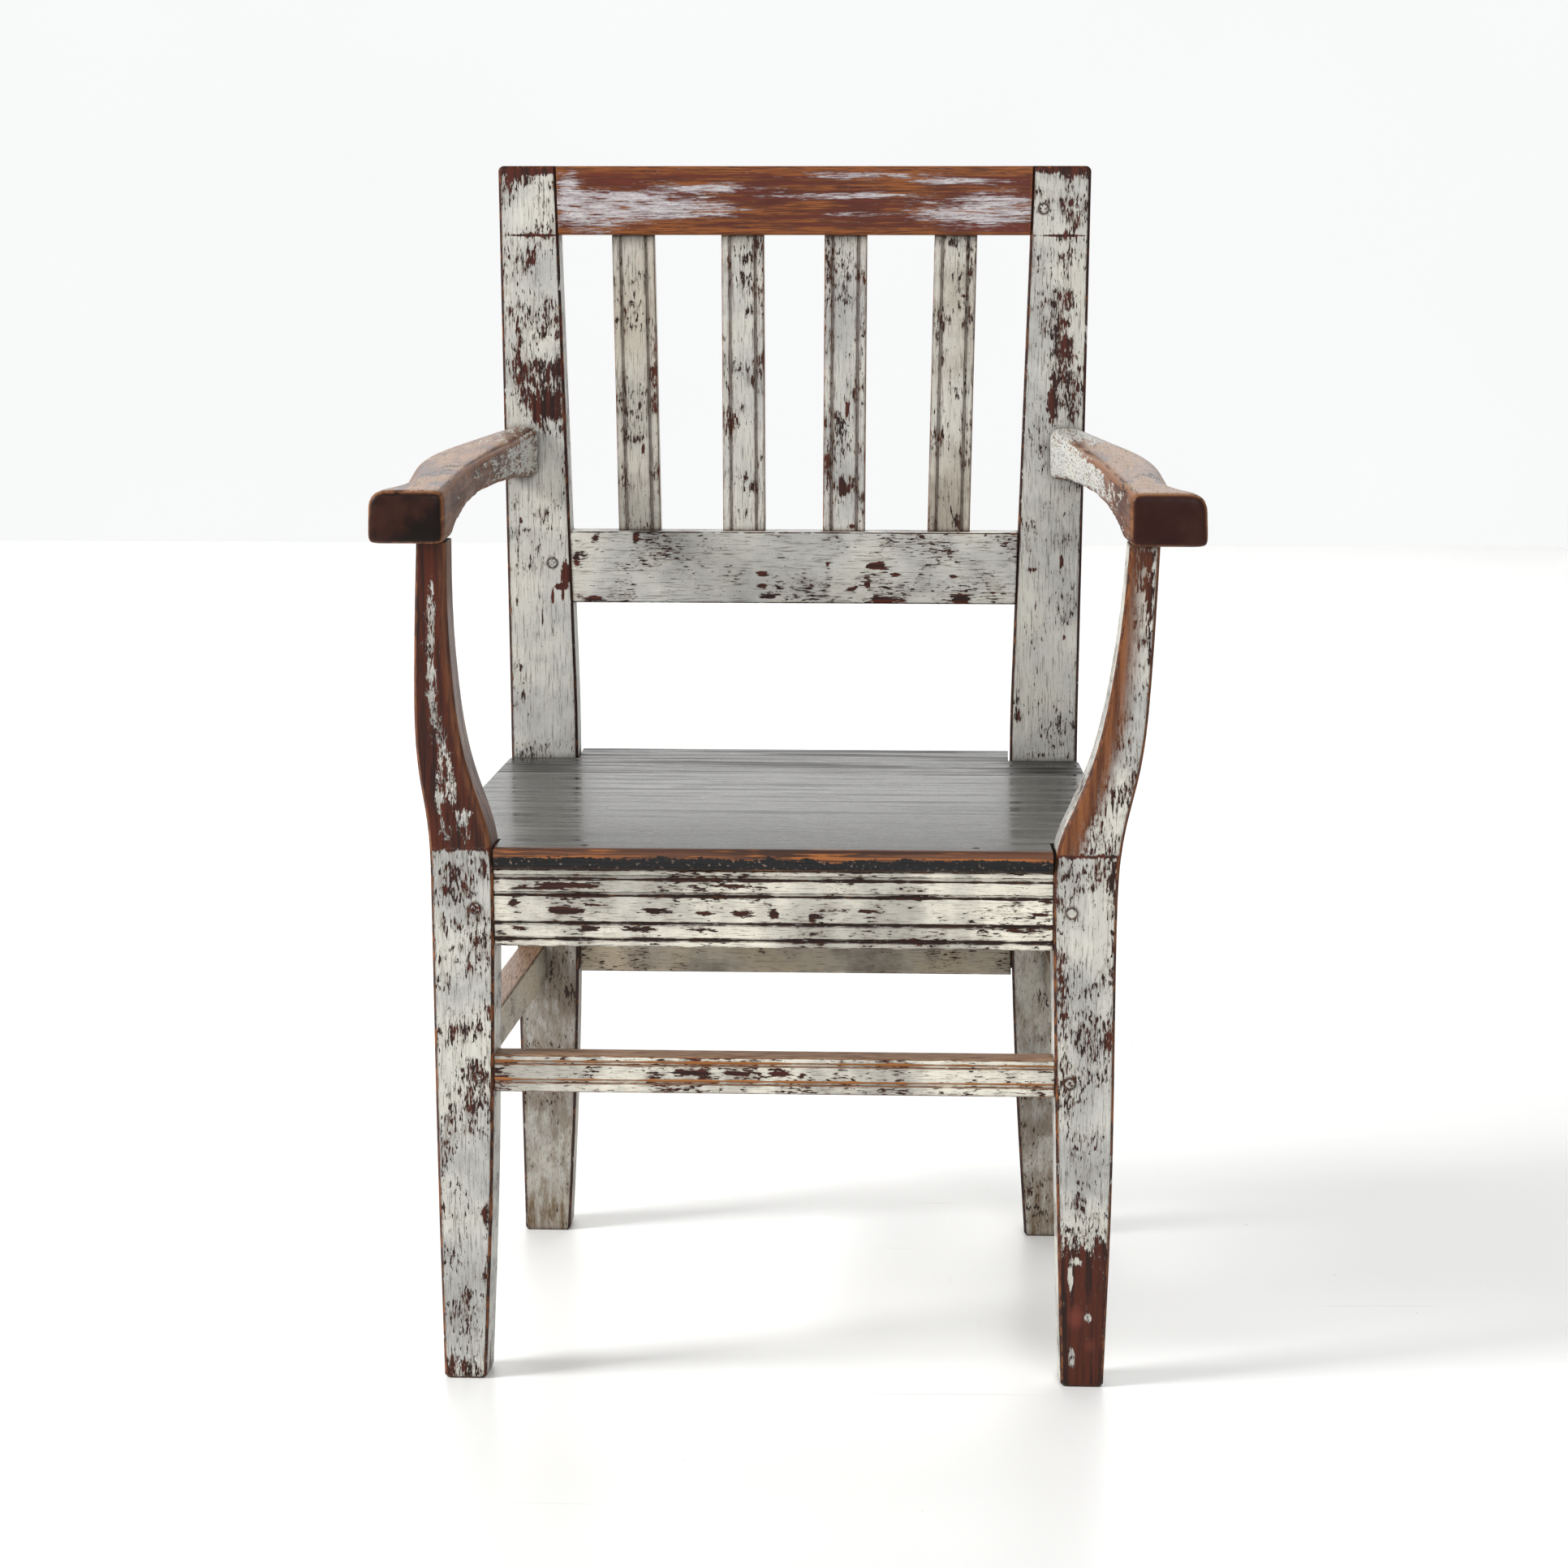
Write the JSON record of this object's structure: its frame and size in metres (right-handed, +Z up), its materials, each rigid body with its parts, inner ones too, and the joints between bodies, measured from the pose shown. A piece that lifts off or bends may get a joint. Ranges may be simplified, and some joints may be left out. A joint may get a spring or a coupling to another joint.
{
  "type": "child armchair",
  "caption": "Child's painted pine armchair with slatted back, curved arms, boarded seat and reeded front rails.",
  "frame": {"origin": "on the floor, below the middle of the chair's bounding box", "axes": "+Z up, +Y towards the back, +X to the right seen from the front"},
  "size_m": [0.4416, 0.2877, 0.6424],
  "materials": {
    "painted_wood": "pale grey paint, flaked to oxblood and bare pine",
    "seat_wood": "dark grey paint, satin, worn at the front edge",
    "arm_wood": "brown wood polished by hands, with remains of pale paint",
    "peg_wood": "end grain, part painted",
    "nail_iron": "rusty"
  },
  "bodies": {
    "root": {"front_leg_left": "painted_wood", "front_leg_right": "painted_wood", "back_stile_left": "painted_wood", "back_stile_right": "painted_wood", "top_rail": "painted_wood", "lower_back_rail": "painted_wood", "slat_1": "painted_wood", "slat_2": "painted_wood", "slat_3": "painted_wood", "slat_4": "painted_wood", "front_seat_rail": "painted_wood", "front_stretcher": "painted_wood", "side_seat_rail_left": "painted_wood", "side_seat_rail_right": "painted_wood", "side_stretcher_left": "painted_wood", "side_stretcher_right": "painted_wood", "back_seat_rail": "painted_wood", "rear_stretcher": "painted_wood", "seat_front_board": "seat_wood", "seat_rear_board": "seat_wood", "arm_left": "arm_wood", "arm_right": "arm_wood", "leg_pegs": "peg_wood", "back_pegs": "peg_wood", "seat_nails": "nail_iron"}
  },
  "joints": []
}
